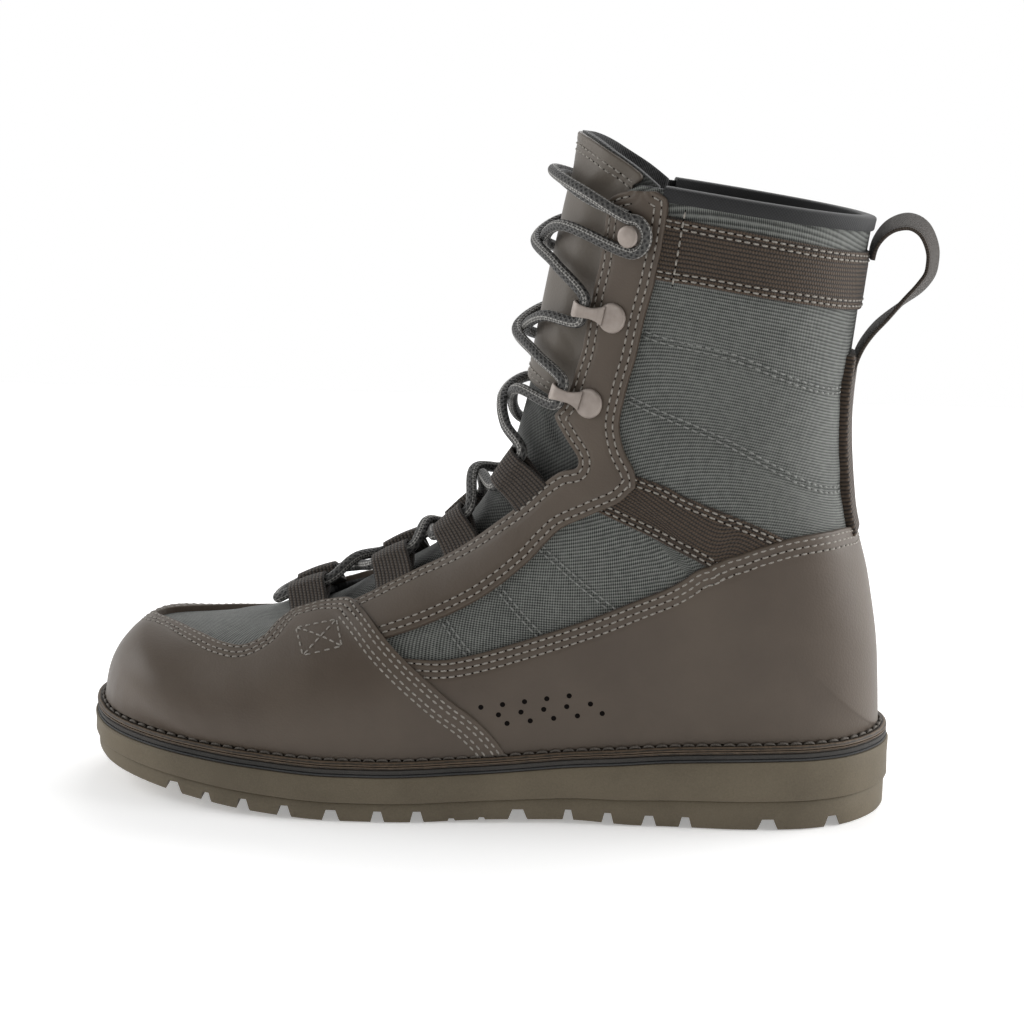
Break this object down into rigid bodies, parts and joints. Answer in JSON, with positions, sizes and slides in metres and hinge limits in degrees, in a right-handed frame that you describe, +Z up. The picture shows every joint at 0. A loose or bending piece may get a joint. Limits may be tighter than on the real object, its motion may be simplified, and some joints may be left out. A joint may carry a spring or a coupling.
{
  "type": "wading boot",
  "caption": "Left lace-up wading boot: welted rubber sole, woven shell with leather overlays, lace loops, speed hooks and a pull loop at the heel.",
  "frame": {"origin": "middle of the bounding box at floor level, under the sole", "axes": "-X towards the toe, -Y the outer (lateral) side, +Z up"},
  "size_m": [0.3208, 0.1074, 0.2517],
  "materials": {
    "outsole_rubber": "moulded rubber, olive brown",
    "midsole_rubber": "black rubber",
    "welt_leather": "stitched welt strip",
    "insole_foam": "dark footbed",
    "leather": "waxed taupe leather",
    "fabric": "coarse woven fabric",
    "webbing": "woven webbing",
    "binding": "black edge binding",
    "hook_metal": "painted steel",
    "lace_cord": "braided lace"
  },
  "bodies": {
    "root": {"outsole": "outsole_rubber", "midsole": "midsole_rubber", "welt": "welt_leather", "insole": "insole_foam", "upper": "fabric", "tongue": "fabric", "tongue_facing": "leather", "vamp": "leather", "counter": "leather", "collar_band": "webbing", "back_strap": "webbing", "eyestay_lateral": "leather", "eyestay_medial": "leather", "side_strap_lateral": "webbing", "side_strap_medial": "webbing", "collar_binding": "binding", "pull_loop": "webbing", "lace_loop_1_lateral": "webbing", "lace_loop_2_lateral": "webbing", "lace_loop_3_lateral": "webbing", "lace_loop_4_lateral": "webbing", "hook_lower_lateral": "hook_metal", "hook_upper_lateral": "hook_metal", "stud_lateral": "hook_metal", "lace_loop_1_medial": "webbing", "lace_loop_2_medial": "webbing", "lace_loop_3_medial": "webbing", "lace_loop_4_medial": "webbing", "hook_lower_medial": "hook_metal", "hook_upper_medial": "hook_metal", "stud_medial": "hook_metal", "lace": "lace_cord"}
  },
  "joints": []
}
